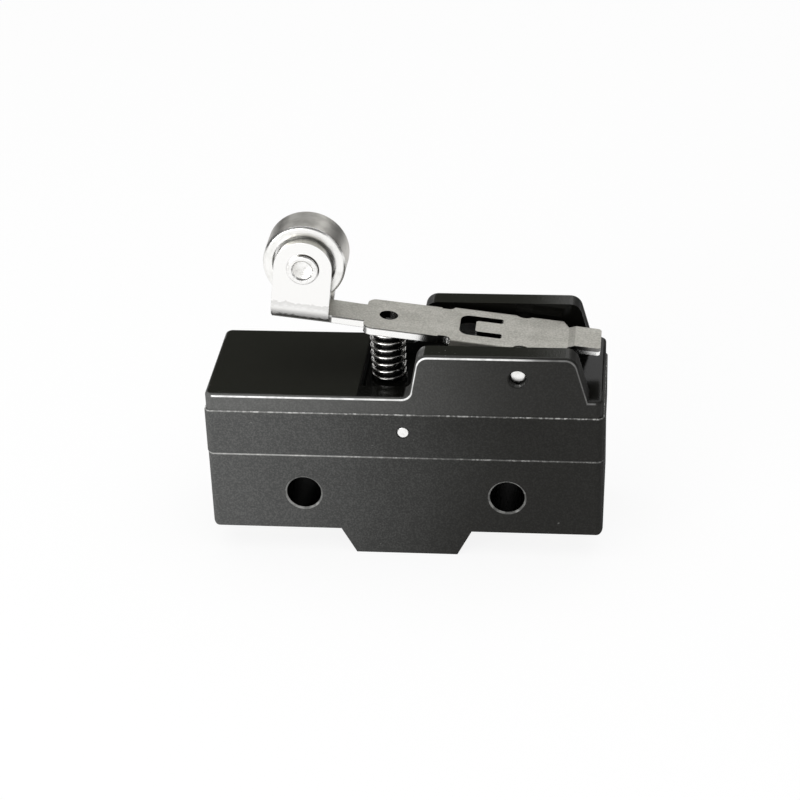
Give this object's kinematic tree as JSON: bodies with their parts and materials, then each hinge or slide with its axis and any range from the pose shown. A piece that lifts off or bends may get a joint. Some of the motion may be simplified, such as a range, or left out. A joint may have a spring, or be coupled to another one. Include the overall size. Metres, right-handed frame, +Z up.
{
  "type": "lever micro switch",
  "caption": "Basic snap switch: black three-part moulded body with a hinged steel roller lever, coil return spring, plunger, snap blade and screw terminals.",
  "frame": {"origin": "midway between the two mounting holes, at mid-thickness of the body", "axes": "+X along the body to the lever's hinge end, +Y along the mounting holes to the back, +Z up to the roller"},
  "size_m": [0.0492, 0.0174, 0.0422],
  "materials": {
    "body_plastic": "satin moulded",
    "cover_plastic": "glossy deck, satin sides",
    "button_plastic": "smooth",
    "lever_steel": "satin plated sheet",
    "roller_steel": "turned",
    "pin_steel": "bright",
    "spring_steel": "drawn wire",
    "screw_steel": "plated",
    "terminal_brass": "stamped",
    "blade_metal": "rolled",
    "contact_metal": "polished"
  },
  "bodies": {
    "housing": {"base": "body_plastic", "case": "body_plastic", "cover": "cover_plastic", "case_pin_front": "pin_steel", "case_pin_back": "pin_steel", "hinge_pin": "pin_steel", "return_spring": "spring_steel", "blade_anchor": "terminal_brass", "blade_rivet": "terminal_brass", "nc_contact": "contact_metal", "no_contact": "contact_metal", "nc_terminal": "terminal_brass", "nc_screw": "screw_steel", "nc_washer": "screw_steel", "no_terminal": "terminal_brass", "no_screw": "screw_steel", "no_washer": "screw_steel", "com_terminal": "terminal_brass", "com_screw": "screw_steel", "com_washer": "screw_steel"},
    "lever": {"lever": "lever_steel", "roller_axle": "pin_steel"},
    "roller": {"roller": "roller_steel"},
    "button": {"plunger_button": "button_plastic", "overtravel_spring": "spring_steel"},
    "pin": {"actuating_pin": "button_plastic"},
    "blade": {"snap_blade": "blade_metal", "moving_contact": "contact_metal"}
  },
  "joints": [
    {"name": "lever_hinge", "type": "hinge", "parent": "housing", "child": "lever", "pos_m": [0.01408, 0, 0.01669], "axis": [0, -1, 0], "range_deg": [0, 9], "stiffness_Nm_per_rad": 0.15, "springref_deg": -8.02, "deforming": ["return_spring"]},
    {"name": "roller_spin", "type": "hinge", "parent": "lever", "child": "roller", "pos_m": [-0.01204, 0, 0.02858], "axis": [0, -1, 0], "continuous": true},
    {"name": "plunger_slide", "type": "slide", "parent": "housing", "child": "button", "axis": [0, 0, -1], "range_m": [0, 0.00251], "deforming": ["overtravel_spring"]},
    {"name": "pin_slide", "type": "slide", "parent": "housing", "child": "pin", "axis": [0, 0, -1], "range_m": [0, 0.00055]},
    {"name": "blade_flip", "type": "hinge", "parent": "housing", "child": "blade", "pos_m": [0.0158, 0, 0.0071], "axis": [0, -1, 0], "range_deg": [0, 1.75]}
  ],
  "couplings": [
    {"joint": "plunger_slide", "follows": "lever_hinge", "m_per_rad": 0.015871},
    {"joint": "pin_slide", "follows": "lever_hinge", "m_per_rad": 0.003374},
    {"joint": "blade_flip", "follows": "lever_hinge", "ratio": 0.18889}
  ]
}
